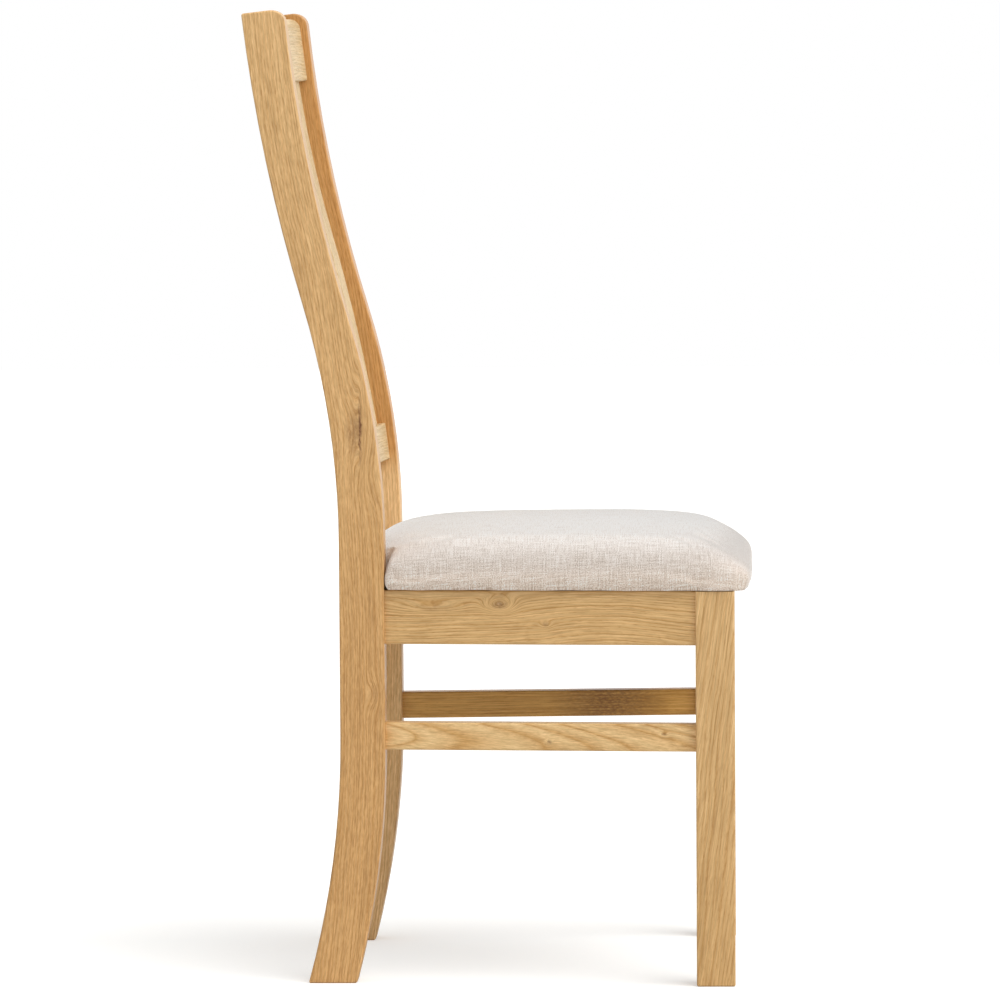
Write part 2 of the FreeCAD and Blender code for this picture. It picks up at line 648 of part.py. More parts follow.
block_screws, block_holes, seat_screws, seat_holes = [], [], [], []
for end, plan in BLOCK_PLANS.items():
    block_screws += block_fixings(plan, make_screw, BLOCK_SCREW_RADIUS, BLOCK_SCREW_LENGTH)
    block_holes += block_fixings(plan, screw_hole, BLOCK_SCREW_RADIUS, BLOCK_SCREW_LENGTH)
    seat_screws.append(seat_fixing(plan, make_screw, SEAT_SCREW_RADIUS, SEAT_SCREW_LENGTH))
    seat_holes.append(seat_fixing(plan, screw_hole, SEAT_SCREW_RADIUS, SEAT_SCREW_LENGTH))
    block = prism(plan, BLOCK_TOP - BLOCK_HEIGHT, BLOCK_TOP)
    pairs[f"corner_block_{end}"] = block.cut(block_holes + seat_holes)
pairs["side_rail"] = pairs["side_rail"].cut(block_holes)
for name in ("front_rail", "rear_rail"):
    nodes[name] = nodes[name].cut([both_sides(hole) for hole in block_holes])
for name, solid in pairs.items():
    nodes.update({f"{name}_{side}": piece for side, piece in sides(solid).items()})
nodes["corner_block_screws"] = Part.makeCompound([both_sides(screw) for screw in block_screws])
nodes["seat_screws"] = Part.makeCompound([both_sides(screw) for screw in seat_screws])

board = make_board()
board_holes = [both_sides(hole) for hole in seat_holes]
cover_staples = staple_rows(SEAT_FRAME_TOP, COVER_STAPLES_PAST_RAILS)
dust_staples = staple_rows(DUST_COVER_BOTTOM, DUST_STAPLES_PAST_RAILS)
nodes["seat_foam"] = make_pad(COVER_THICKNESS + FOAM_GAP).cut(board)
nodes["seat_board"] = board.cut(cover_staples + dust_staples + board_holes)
nodes["seat_cover"] = make_cover().cut(cover_staples + dust_staples)
nodes["dust_cover"] = make_dust_cover().cut(dust_staples + board_holes)
nodes["cover_staples"] = Part.makeCompound(cover_staples)
nodes["dust_cover_staples"] = Part.makeCompound(dust_staples)

os.makedirs("parts", exist_ok=True)
for name, solid in nodes.items():
    solid.exportStep(f"parts/{name}.step")
    print(f"{name}: {len(solid.Solids)} solid(s), valid {solid.isValid()}, {solid.Volume / 1000:.1f} cm3")
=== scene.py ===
import math

import bmesh
import bpy
import numpy as np
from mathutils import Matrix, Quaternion, Vector


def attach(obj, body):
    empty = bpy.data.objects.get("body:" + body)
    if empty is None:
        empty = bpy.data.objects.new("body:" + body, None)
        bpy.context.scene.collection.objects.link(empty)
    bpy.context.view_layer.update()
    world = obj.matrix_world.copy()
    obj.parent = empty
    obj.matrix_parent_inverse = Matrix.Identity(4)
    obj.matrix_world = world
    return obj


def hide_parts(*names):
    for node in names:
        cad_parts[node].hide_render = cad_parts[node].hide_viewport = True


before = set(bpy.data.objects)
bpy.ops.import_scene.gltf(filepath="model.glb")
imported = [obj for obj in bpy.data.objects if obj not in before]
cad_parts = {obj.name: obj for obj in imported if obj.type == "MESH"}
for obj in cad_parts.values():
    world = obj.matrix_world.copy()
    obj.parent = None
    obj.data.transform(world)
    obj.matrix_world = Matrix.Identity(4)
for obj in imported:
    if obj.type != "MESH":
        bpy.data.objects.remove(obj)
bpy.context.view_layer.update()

# Rear posts: two curved uprights of solid oak, each sawn from one wide board and rounded along its edges.
# The grain runs up the board and follows the sawn curve only part of the way.
# A thin satin lacquer leaves the pores open.

MM = 0.001


def linear(code):
    """A colour written as an sRGB hex value, in linear light."""
    parts = [int(code[i : i + 2], 16) / 255 for i in (1, 3, 5)]
    return tuple(c / 12.92 if c <= 0.04045 else ((c + 0.055) / 1.055) ** 2.4 for c in parts) + (1.0,)


def add(tree, kind, sockets=None, **settings):
    """Adds a shader node with its settings; a socket takes a value, or a link from a node or an output."""
    made = tree.nodes.new("ShaderNode" + kind)
    for name, value in settings.items():
        setattr(made, name, value)
    for name, value in (sockets or {}).items():
        if isinstance(value, bpy.types.Node):
            value = next(output for output in value.outputs if output.enabled)
        if isinstance(value, bpy.types.NodeSocket):
            tree.links.new(value, made.inputs[name])
        else:
            made.inputs[name].default_value = value
    return made


def finish_of(name, roughness):
    """A new material, its tree and its shader, at an even roughness."""
    material = bpy.data.materials.new(name)
    material.use_nodes = True
    shader = material.node_tree.nodes["Principled BSDF"]
    shader.inputs["Roughness"].default_value = roughness
    return material, material.node_tree, shader


def dress(material, *names):
    """Gives CAD nodes a material."""
    for name in names:
        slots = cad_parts[name].data.materials
        slots.clear()
        slots.append(material)


# Oak, planed and lacquered: soft growth rings of uneven width, fine fibres and short open pores along them.
# Fibres and pores bend with the rings round every knot, and the lacquer shines on the rounded edges.
# Pores are 0.3 mm wide, and drawn 0.8 mm wide to show.
KNOT = "#704526"
KNOT_RAG = 5 * MM  # how far a knot's outline strays
KNOT_RAG_SIZE = 9 * MM
KNOT_FLOW = 0.2  # how soon the rings run straight again beside a knot
CRACK_SIZE = (2.0 * MM, 5 * MM)  # across and along the grain, as in the pairs below
PORE_SIZE = (0.8 * MM, 7 * MM)
STREAK_SIZE = (4.5 * MM, 110 * MM)
CLOUD_SIZE = (40 * MM, 300 * MM)
WANDER_SIZE = (90 * MM, 260 * MM)
WAVE_SIZE = (14 * MM, 45 * MM)
FIBRE = 1.2 * MM
PORE_DEPTH = 0.15 * MM
PORE_SHADE = (0.80, 0.70, 0.58)  # of the early wood's colour
YEARS_PATTERN = 0.37  # how often wide rings give way to narrow ones
YEARS_CHANGE = 2.4


def oak(
    name, board, lay, pith, ring, wander=6 * MM, wave=1.0 * MM, figure=0.75, fibre=34 * MM, spread=300 * MM,
    knots=(), tint=None,
):
    """Oak of one kind of piece.

    board: the colours of early wood, of late wood and of the palest part of a ring
    lay: turns the chair's axes into two across the grain and one along it
    pith: the heart of the log, across the grain
    ring: the width of a growth ring
    wander, wave: how far the rings stray in long and in short bends
    figure: how strongly the rings show
    fibre: how long the fibres are
    spread: roughly how far the piece lies from the pith, which keeps the fibres thin along a ring too
    knots: of each, its centre, its half sizes, how many rings it pushes aside and how dark it is
    tint: a tone that deepens the wood from one height to another
    """
    material, tree, shader = finish_of(name, 0.5)
    shader.inputs["Specular IOR Level"].default_value = 0.25
    shader.inputs["Coat Weight"].default_value = 0.3
    shader.inputs["Coat Roughness"].default_value = 0.25
    place = add(tree, "TexCoord").outputs["Object"]
    grain = add(tree, "CombineXYZ", dict(enumerate(lay(tree, *add(tree, "SeparateXYZ", {0: place}).outputs))))

    def drawn_out(lines, size, detail, rough=0.5):
        """A pattern drawn out along the grain."""
        across, along = size
        stretch = (1 / across, 1 / across, 1 / along)
        scaled = add(tree, "VectorMath", {0: lines, 1: stretch}, operation="MULTIPLY")
        return add(tree, "TexNoise", {"Vector": scaled, "Scale": 1.0, "Detail": detail, "Roughness": rough})

    # Growth rings round the pith, bent, and pushed aside by the knots
    bent = grain
    for size, stray in ((WANDER_SIZE, wander), (WAVE_SIZE, wave)):
        drift = drawn_out(grain, size, 2.0).outputs["Color"]
        bent = add(tree, "VectorMath", {0: drift, 1: (stray * 2,) * 3, 2: bent}, operation="MULTIPLY_ADD")
    heart = add(tree, "VectorMath", {0: bent, 1: (*pith, 0)}, operation="SUBTRACT")
    across = add(tree, "VectorMath", {0: heart, 1: (1 / ring, 1 / ring, 0)}, operation="MULTIPLY")
    rings = add(tree, "VectorMath", {0: across}, operation="LENGTH").outputs["Value"]
    dark = None
    ragged = add(tree, "TexNoise", {"Vector": place, "Scale": 1 / KNOT_RAG_SIZE, "Detail": 2.0})
    ragged = add(tree, "VectorMath", {0: ragged.outputs["Color"], 1: (0.5,) * 3}, operation="SUBTRACT")
    ragged = add(tree, "VectorMath", {0: ragged, 1: (KNOT_RAG,) * 3, 2: place}, operation="MULTIPLY_ADD")
    for centre, size, lift, darkness in knots:
        steps = []
        for outline in (place, ragged):
            away = add(tree, "VectorMath", {0: outline, 1: centre}, operation="SUBTRACT")
            away = add(tree, "VectorMath", {0: away, 1: tuple(1 / s for s in size)}, operation="MULTIPLY")
            steps.append(add(tree, "VectorMath", {0: away}, operation="LENGTH").outputs["Value"])
        flow = add(tree, "Math", {0: steps[0], 1: 2.0}, operation="POWER")
        flow = add(tree, "Math", {0: flow, 1: -KNOT_FLOW}, operation="MULTIPLY")
        flow = add(tree, "Math", {0: flow}, operation="EXPONENT")
        rings = add(tree, "Math", {0: flow, 1: lift, 2: rings}, operation="MULTIPLY_ADD")
        if darkness:
            core = add(tree, "MapRange", {"Value": steps[1], 1: 1.5, 2: 0.3, 3: 0.0, 4: darkness})
            dark = core if dark is None else add(tree, "Math", {0: dark, 1: core}, operation="MAXIMUM")
    years = add(tree, "TexNoise", {"W": rings, "Scale": YEARS_PATTERN, "Detail": 1.0}, noise_dimensions="1D")
    years = add(tree, "Math", {0: years, 1: YEARS_CHANGE, 2: rings}, operation="MULTIPLY_ADD")
    phase = add(tree, "Math", {0: years}, operation="FRACT")
    tone = add(tree, "ValToRGB", {0: phase})
    stops = tone.color_ramp.elements
    early, late, pale = (linear(colour) for colour in board)
    stops[0].position, stops[0].color = 0.0, early
    stops[1].position, stops[1].color = 1.0, early
    for share, colour in ((0.25, late), (0.6, pale), (0.88, late)):
        stops.new(share).color = colour
    even = add(tree, "Mix", {0: figure, 6: late, 7: tone}, data_type="RGBA")

    # The same rings as a distance, so that fibres, streaks and pores follow them
    depth = add(tree, "Math", {0: rings, 1: ring}, operation="MULTIPLY")
    axes = add(tree, "SeparateXYZ", {0: heart}).outputs
    round_pith = add(tree, "Math", {0: axes[0], 1: axes[1]}, operation="ARCTAN2")
    round_pith = add(tree, "Math", {0: round_pith, 1: spread}, operation="MULTIPLY")
    lines = add(tree, "CombineXYZ", {0: depth, 1: round_pith, 2: axes[2]})
    fibres = drawn_out(lines, (FIBRE, fibre), 2.0, 0.6)
    fibres = add(tree, "MapRange", {"Value": fibres, 1: 0.3, 2: 0.7, 3: 0.84, 4: 1.14})
    streaks = drawn_out(lines, STREAK_SIZE, 2.0, 0.6)
    streaks = add(tree, "MapRange", {"Value": streaks, 1: 0.3, 2: 0.7, 3: 0.92, 4: 1.07})
    clouds = drawn_out(grain, CLOUD_SIZE, 2.0)
    clouds = add(tree, "MapRange", {"Value": clouds, 1: 0.3, 2: 0.7, 3: 0.94, 4: 1.06})
    shade = add(tree, "Math", {0: fibres, 1: streaks}, operation="MULTIPLY")
    shade = add(tree, "Math", {0: shade, 1: clouds}, operation="MULTIPLY")
    wood = add(tree, "VectorMath", {0: even, "Scale": shade}, operation="SCALE")
    warmth = add(tree, "MapRange", {"Value": shade, 1: 0.7, 2: 1.3, 3: 1.18, 4: 0.84})
    wood = add(tree, "Gamma", {"Color": wood, "Gamma": warmth})

    # Open pores, most of them in the early wood
    pores = drawn_out(lines, PORE_SIZE, 1.0)
    pores = add(tree, "MapRange", {"Value": pores, 1: 0.53, 2: 0.68, 3: 0.0, 4: 1.0})
    porous = add(tree, "Math", {0: phase, 1: 0.5}, operation="SUBTRACT")
    porous = add(tree, "Math", {0: porous}, operation="ABSOLUTE")
    porous = add(tree, "MapRange", {"Value": porous, 1: 0.1, 2: 0.5, 3: 0.15, 4: 0.55})
    open_pores = add(tree, "Math", {0: pores, 1: porous}, operation="MULTIPLY")
    shadowed = (*(share * colour for share, colour in zip(PORE_SHADE, early)), 1.0)
    wood = add(tree, "Mix", {0: open_pores, 6: wood, 7: shadowed}, data_type="RGBA")
    if dark is not None:
        cracks = drawn_out(grain, CRACK_SIZE, 2.0, 0.6)
        cracks = add(tree, "MapRange", {"Value": cracks, 1: 0.35, 2: 0.6, 3: 0.35, 4: 1.0})
        cracked = add(tree, "Math", {0: dark, 1: cracks}, operation="MULTIPLY")
        wood = add(tree, "Mix", {0: cracked, 6: wood, 7: linear(KNOT)}, data_type="RGBA")
    if tint:
        deep, begin, full = tint
        height = add(tree, "SeparateXYZ", {0: place}).outputs["Z"]
        share = add(tree, "MapRange", {"Value": height, 1: begin, 2: full, 3: 0.0, 4: 1.0})
        wood = add(tree, "Mix", {0: share, 6: wood, 7: linear(deep)}, data_type="RGBA", blend_type="MULTIPLY")
    tree.links.new(wood.outputs["Result"], shader.inputs["Base Color"])
    rough = add(tree, "MapRange", {"Value": open_pores, 1: 0.0, 2: 1.0, 3: 0.46, 4: 0.62})
    tree.links.new(rough.outputs["Result"], shader.inputs["Roughness"])
    bump = add(tree, "Bump", {"Strength": 0.3, "Distance": PORE_DEPTH, "Height": open_pores}, invert=True)
    tree.links.new(bump.outputs["Normal"], shader.inputs["Normal"])
    return material


# The post's sway behind its plumb middle part, by height, as shares of its whole height and sway
POST_HEIGHT = 1060 * MM
GRAIN_SWAY = 75 * MM
SIDES_APART = 1.7
SWAY = [(0.0, 0.27), (0.12, 0.1), (0.25, 0.0), (0.45, 0.0), (0.7, 0.36), (0.85, 0.77), (1.0, 1.0)]


def post_grain(tree, x, y, z):
    """Up the post, and with its sway part of the way."""
    height = add(tree, "Math", {0: z, 1: POST_HEIGHT}, operation="DIVIDE")
    sway = add(tree, "FloatCurve", {"Value": height})
    points = sway.mapping.curves[0].points
    for share, back in SWAY[1:-1]:
        points.new(share, back)
    points[0].location, points[-1].location = SWAY[0], SWAY[-1]
    sway.mapping.update()
    straight = add(tree, "Math", {0: sway, 1: -GRAIN_SWAY, 2: y}, operation="MULTIPLY_ADD")
    return x, straight, side_apart(tree, x, z)


def side_apart(tree, x, along):
    """Moves the grain of a left-hand piece along, so that it isn't its neighbour's mirror image."""
    side = add(tree, "Math", {0: x}, operation="SIGN")
    return add(tree, "Math", {0: side, 1: SIDES_APART, 2: along}, operation="MULTIPLY_ADD")


POST_BOARD = ("#C59354", "#DCB27A", "#E2BD87")
# Painted light: the left-hand post's board is paler than the right-hand one's, for the light thrown up on it
# from the white seat
POST_BOARD_LEFT_BOUNCE_LIT = ("#D29E60", "#EBBF86", "#F0CA94")
POST_FOOT = ("#EFE4D5", 950 * MM, 300 * MM)
POST_LEFT_PAINTED_SHADE = ("#DFCBAD", 535 * MM, 565 * MM)  # painted shade: above there the left-hand post turns darker and browner, for the shade of the back
POST_KNOTS = [
    ((-195 * MM, 148.8 * MM, 603 * MM), (9 * MM, 1.9 * MM, 31 * MM), 2.0, 1.0),
    ((-195 * MM, 155 * MM, 602 * MM), (9 * MM, 8 * MM, 22 * MM), 2.2, 0.5),
    ((-195 * MM, 141 * MM, 560 * MM), (12 * MM, 8 * MM, 18 * MM), -2.5, 0.0),
    ((-195 * MM, 136 * MM, 316 * MM), (6 * MM, 4 * MM, 7 * MM), 1.8, 0.25),
]
POST_PITH = (-60 * MM, -380 * MM)
POST_RING = 3.6 * MM
post_oak = oak(
    "oak_post_right", POST_BOARD, post_grain, POST_PITH, POST_RING, figure=0.55, fibre=13 * MM,
    spread=550 * MM, knots=POST_KNOTS, tint=POST_FOOT,
)
dress(post_oak, "rear_post_right")
post_oak = oak(
    "oak_post_left", POST_BOARD_LEFT_BOUNCE_LIT, post_grain, POST_PITH, POST_RING, figure=0.55, fibre=13 * MM,
    spread=550 * MM, tint=POST_LEFT_PAINTED_SHADE,
)
dress(post_oak, "rear_post_left")

# Front legs: straight square oak, planed on four sides, with their tops level with the seat frame.
# They are cut between the rings' two directions, so both faces show close lines that lean a little.

LEG_LEAN = 0.13


def leg_grain(tree, x, y, z):
    """Up the leg, leaning a little."""
    leaning = add(tree, "Math", {0: z, 1: LEG_LEAN, 2: y}, operation="MULTIPLY_ADD")
    return x, leaning, side_apart(tree, x, z)


LEG_BOARD = ("#C59658", "#D9B17A", "#DFBB85")
LEG_FOOT = ("#F2EDE4", 450 * MM, 100 * MM)
leg_oak = oak(
    "oak_leg", LEG_BOARD, leg_grain, (-20 * MM, -60 * MM), 3.0 * MM, wander=7 * MM, figure=0.65, tint=LEG_FOOT
)
dress(leg_oak, "front_leg_right", "front_leg_left")

# Side rails of the seat: flat-sawn oak boards tenoned into leg and post.
# Long flowing lines run round a knot and a few pin knots on the right-hand one.

SIDE_SPLAY = 30 / 338.5  # the sides draw together towards the back


def side_grain(tree, x, y, z):
    """From front to back, along the splayed side."""
    out = add(tree, "Math", {0: x}, operation="ABSOLUTE")
    out = add(tree, "Math", {0: y, 1: SIDE_SPLAY, 2: out}, operation="MULTIPLY_ADD")
    return out, z, side_apart(tree, x, y)


RAIL_KNOTS = [
    ((-200 * MM, -2 * MM, 414.5 * MM), (12 * MM, 6.4 * MM, 3.6 * MM), 7.5, 0.8),
    ((-205 * MM, -52 * MM, 393 * MM), (4 * MM, 3 * MM, 1.8 * MM), 1.6, 0.6),
    ((-194 * MM, 66 * MM, 411 * MM), (12 * MM, 20 * MM, 3.2 * MM), 2.4, 0.25),
    ((-210 * MM, -105 * MM, 407 * MM), (40 * MM, 38 * MM, 22 * MM), -3.5, 0.0),
]
RAIL_BOARD = ("#C0904F", "#D8AF76", "#DEB981")
side_oak = oak(
    "oak_side_rail", RAIL_BOARD, side_grain, (150 * MM, 120 * MM), 3.6 * MM, wander=10 * MM, figure=0.75,
    knots=RAIL_KNOTS,
)
dress(side_oak, "side_rail_right", "side_rail_left")

# Side stretchers: narrow oak bars that tie leg to post below the seat.
# The saw crossed the right-hand one's rings at a slant, so they show as arches one behind the other.

ARCH_SLANT = -0.103
ARCH_RISE = -0.09


def stretcher_grain(tree, x, y, z):
    """From front to back, at a slant to the bar's face and edge."""
    out, up, along = side_grain(tree, x, y, z)
    slanting = add(tree, "Math", {0: y, 1: ARCH_SLANT, 2: out}, operation="MULTIPLY_ADD")
    rising = add(tree, "Math", {0: y, 1: ARCH_RISE, 2: up}, operation="MULTIPLY_ADD")
    return slanting, rising, along


PIN_KNOTS = [
    ((-201 * MM, -55 * MM, 265 * MM), (4 * MM, 2.2 * MM, 1.6 * MM), 0.4, 0.6),
    ((-212 * MM, -180 * MM, 274 * MM), (4 * MM, 2.2 * MM, 1.4 * MM), 0.4, 0.6),
]
STRETCHER_BOARD = ("#CB9C5C", "#E1B980", "#E7C48C")
# Painted shade: the left-hand stretcher's colours are darker and browner than the right-hand one's, for the
# shade it stands in under the seat
STRETCHER_BOARD_SHADED = ("#B98136", "#CF9C50", "#D6A55C")
# A soft, streaky dark patch towards the front of the left-hand stretcher
STRETCHER_DARK_PATCH = [((200 * MM, -112 * MM, 272 * MM), (40 * MM, 50 * MM, 40 * MM), 0.0, 0.8)]
STRETCHER_PITH = (169 * MM, 264 * MM)
STRETCHER_RING = 6.0 * MM
stretcher_oak = oak(
    "oak_stretcher_right", STRETCHER_BOARD, stretcher_grain, STRETCHER_PITH, STRETCHER_RING, wander=3 * MM,
    wave=0.5 * MM, figure=0.9, fibre=20 * MM, spread=40 * MM, knots=PIN_KNOTS,
)
dress(stretcher_oak, "side_stretcher_right")
stretcher_oak = oak(
    "oak_stretcher_left", STRETCHER_BOARD_SHADED, side_grain, (150 * MM, -300 * MM), 3.5 * MM, wander=4 * MM,
    figure=0.7, spread=560 * MM, knots=STRETCHER_DARK_PATCH,
)
dress(stretcher_oak, "side_stretcher_left")

# Cross rails: the front and rear seat rails and the two rails of the back, all oak with the grain from
# side to side. The two in the back lean with the posts and hold the slats' tenons.


def cross_grain(tree, x, y, z):
    """From side to side."""
    return y, z, x


cross_oak = oak("oak_seat_rail", RAIL_BOARD, cross_grain, (40 * MM, 100 * MM), 4.0 * MM, wander=10 * MM)
dress(cross_oak, "front_rail", "rear_rail")
BACK_BOARD = ("#C5A16A", "#D9BF93", "#DFCBA1")
cross_oak = oak(
    "oak_back_rail", BACK_BOARD, cross_grain, (160 * MM, -900 * MM), 4.5 * MM, wander=8 * MM, figure=0.3
)
dress(cross_oak, "top_rail", "lower_back_rail")

# Slats: five thin oak strips sawn to a gentle S and tenoned between the rails of the back.
# Each comes from another part of the board, so their lines differ.

SLAT_PITCH = 57.17 * MM
STRIP_ALONG = 0.83  # how far apart the slats lay in the board
STRIP_ASIDE = -41 * MM


def slat_grain(tree, x, y, z):
    """Up the slat, each one in its own part of the board."""
    strip = add(tree, "Math", {0: x, 1: SLAT_PITCH}, operation="DIVIDE")
    strip = add(tree, "Math", {0: strip}, operation="ROUND")
    apart = add(tree, "Math", {0: strip, 1: STRIP_ALONG, 2: z}, operation="MULTIPLY_ADD")
    aside = add(tree, "Math", {0: strip, 1: STRIP_ASIDE, 2: x}, operation="MULTIPLY_ADD")
    return aside, y, apart


slat_oak = oak(
    "oak_slat", BACK_BOARD, slat_grain, (-330 * MM, -60 * MM), 3.5 * MM, wander=5 * MM, wave=0.5 * MM,
    figure=0.4,
)
dress(slat_oak, *(f"back_slat_{number}" for number in range(1, 6)))

# Corner blocks: beech offcuts glued and screwed inside the four corners of the seat frame.
# Sawn and left bare, they are pinkish and even, with the fine dark flecks of the wood's rays.

BEECH = "#C9A27C"
BEECH_FLECK = "#9E7650"
FLECK_HIGH, FLECK_LONG = 1.2 * MM, 5 * MM  # real ones are half as high, and these are drawn to show
SAW_MARKS = 60.0  # to the metre
SAW_DEPTH = 0.3 * MM

beech, tree, shader = finish_of("beech_block", 0.7)
place = add(tree, "TexCoord").outputs["Object"]
fleck = (1 / FLECK_LONG, 1 / FLECK_LONG, 1 / FLECK_HIGH)
scaled = add(tree, "VectorMath", {0: place, 1: fleck}, operation="MULTIPLY")
flecks = add(tree, "TexNoise", {"Vector": scaled, "Scale": 1.0, "Detail": 2.0})
marks = add(tree, "MapRange", {"Value": flecks, 1: 0.54, 2: 0.7, 3: 0.0, 4: 0.8})
saw_marks = add(tree, "TexNoise", {"Vector": place, "Scale": SAW_MARKS, "Detail": 4.0})
even = add(tree, "MapRange", {"Value": saw_marks, 3: 0.85, 4: 1.1})
body = add(tree, "VectorMath", {0: linear(BEECH)[:3], "Scale": even}, operation="SCALE")
wood = add(tree, "Mix", {0: marks, 6: body, 7: linear(BEECH_FLECK)}, data_type="RGBA")
tree.links.new(wood.outputs["Result"], shader.inputs["Base Color"])
bump = add(tree, "Bump", {"Strength": 0.4, "Distance": SAW_DEPTH, "Height": saw_marks})
tree.links.new(bump.outputs["Normal"], shader.inputs["Normal"])
dress(beech, *(f"corner_block_{end}_{side}" for end in ("front", "rear") for side in ("right", "left")))

# Screws and staples: steel wire and slotted pan-head screws, bright zinc plated.
# The plating is a soft grey with a faint crystal bloom, duller where it was handled.

ZINC = "#B9BBBA"
BLOOM_SIZE = 1.5 * MM

zinc, tree, shader = finish_of("zinc_plated_steel", 0.35)
shader.inputs["Metallic"].default_value = 1.0
place = add(tree, "TexCoord").outputs["Object"]
bloom = add(tree, "TexVoronoi", {"Vector": place, "Scale": 1 / BLOOM_SIZE})
even = add(tree, "MapRange", {"Value": bloom.outputs["Distance"], 1: 0.0, 2: 0.8, 3: 1.05, 4: 0.85})
plating = add(tree, "VectorMath", {0: linear(ZINC)[:3], "Scale": even}, operation="SCALE")
tree.links.new(plating.outputs["Vector"], shader.inputs["Base Color"])
dull = add(tree, "MapRange", {"Value": bloom.outputs["Distance"], 1: 0.0, 2: 0.8, 3: 0.28, 4: 0.45})
tree.links.new(dull.outputs["Result"], shader.inputs["Roughness"])
dress(zinc, "corner_block_screws", "seat_screws", "cover_staples", "dust_cover_staples")

# Seat board: a birch plywood panel that the pad is built on, screwed to the corner blocks from below.
# Its cut edge shows thin plies, by turns pale and brown.

PLY = 1.5 * MM
PLY_PALE = "#D8BE94"
PLY_BROWN = "#B08D60"
PEEL_ACROSS, PEEL_ALONG = 12 * MM, 120 * MM  # the veneer's own figure
PEEL_DEPTH = 0.2 * MM

plywood, tree, shader = finish_of("birch_plywood", 0.65)
place = add(tree, "TexCoord").outputs["Object"]
height = add(tree, "SeparateXYZ", {0: place}).outputs["Z"]
plies = add(tree, "Math", {0: height, 1: 2 * PLY}, operation="DIVIDE")
plies = add(tree, "Math", {0: plies}, operation="FRACT")
turn = add(tree, "MapRange", {"Value": plies, 1: 0.46, 2: 0.54, 3: 0.0, 4: 0.8})
rotary = add(tree, "VectorMath", {0: place, 1: (1 / PEEL_ACROSS, 1 / PEEL_ALONG, 1.0)}, operation="MULTIPLY")
peel = add(tree, "TexNoise", {"Vector": rotary, "Scale": 1.0, "Detail": 4.0})
even = add(tree, "MapRange", {"Value": peel, 1: 0.3, 2: 0.7, 3: 0.86, 4: 1.08})
face = add(tree, "Mix", {0: turn, 6: linear(PLY_PALE), 7: linear(PLY_BROWN)}, data_type="RGBA")
sheet = add(tree, "VectorMath", {0: face, "Scale": even}, operation="SCALE")
tree.links.new(sheet.outputs["Vector"], shader.inputs["Base Color"])
bump = add(tree, "Bump", {"Strength": 0.3, "Distance": PEEL_DEPTH, "Height": peel})
tree.links.new(bump.outputs["Normal"], shader.inputs["Normal"])
dress(plywood, "seat_board")

# Seat pad: foam on the board under one piece of linen-look cloth, pulled down over the edges, folded round
# the posts and stapled underneath. It crowns in the middle and tucks in where it meets the frame.

PAD_VOXEL = 4 * MM
PAD_FIXED_BELOW, PAD_HELD = 437 * MM, 4 * MM  # the cloth is held down there by its staples
PAD_PRESSURE = 4.0
PAD_STEPS = 20
PAD_SWELL = 2.2 * MM
PAD_TIGHT = 3.2 * MM  # how far the cloth is drawn on to the frame and the posts
TIGHT_ABOVE_FRAME, TIGHT_BEFORE_POST = 12 * MM, 14 * MM
LOOSE, LOOSE_ABOVE_FRAME = 1.2 * MM, 16 * MM  # its lower edge wavers a little
FRAME_TOP = 430.3 * MM
NOTCH_X = 154.2 * MM  # clear of the posts' inner faces
NOTCH_Y = 123.4 * MM  # clear of the posts' front faces
NOTCH_OUT, NOTCH_LOW, NOTCH_HIGH = 0.4, 0.3, 0.6
FOLD_ABOVE, FOLD_SOFT = 462 * MM, 10 * MM  # the folded corners round off there
FOLD_REACH = 22 * MM
FRONT_BELLY = 5.5 * MM  # the front edge swells most a little above the frame
FRONT_BELLY_Z = 447 * MM
BELLY_BELOW, BELLY_ABOVE = 7.5 * MM, 19 * MM  # how far down and up the swelling reaches
BELLY_FROM_Y, BELLY_DEEP = -190 * MM, 60 * MM
CORNER_X, CORNER_Y = 230 * MM, -268 * MM  # front corners and side shoulders are drawn round
CORNER_REACH, SHOULDER_REACH = 95 * MM, 75 * MM
CORNER_RISE, SHOULDER_END = 20 * MM, 60 * MM
TUCK = 7 * MM  # the cloth turns in under the fold, so that it leaves a wedge before the post
TUCK_FROM, TUCK_TO = 473 * MM, 450 * MM
TUCK_EDGE = 3 * MM


def shown(name, mesh):
    """A new object for a mesh, in the scene."""
    made = bpy.data.objects.new(name, mesh)
    bpy.context.scene.collection.objects.link(made)
    return made


def evaluated(piece):
    """A copy of a piece's mesh with its modifiers carried out."""
    return bpy.data.meshes.new_from_object(piece.evaluated_get(bpy.context.evaluated_depsgraph_get()))


def box_mesh(name, low, high):
    """The mesh of a box between two corners."""
    made = bmesh.new()
    bmesh.ops.create_cube(made, size=1.0)
    for vertex in made.verts:
        vertex.co = [a + (b - a) * (c + 0.5) for a, b, c in zip(low, high, vertex.co)]
    mesh = bpy.data.meshes.new(name)
    made.to_mesh(mesh)
    made.free()
    return mesh


# The foam's outer form without its hollows
form = bmesh.new()
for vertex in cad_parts["seat_foam"].data.vertices:
    form.verts.new(vertex.co)
hull = bmesh.ops.convex_hull(form, input=form.verts)
spare = [part for part in hull["geom_interior"] + hull["geom_unused"] if isinstance(part, bmesh.types.BMVert)]
bmesh.ops.delete(form, geom=list(set(spare)), context="VERTS")
mesh = bpy.data.meshes.new("seat_pad")
form.to_mesh(mesh)
form.free()
pad = shown("seat_pad", mesh)
cutters = []
for side in (-1, 1):
    low, high = sorted((side * NOTCH_X, side * NOTCH_OUT))
    cutter = shown("notch", box_mesh("notch", (low, NOTCH_Y, NOTCH_LOW), (high, NOTCH_OUT, NOTCH_HIGH)))
    pad.modifiers.new("notch", "BOOLEAN").object = cutter
    cutters.append(cutter)
pad.modifiers.new("remesh", "REMESH").voxel_size = PAD_VOXEL
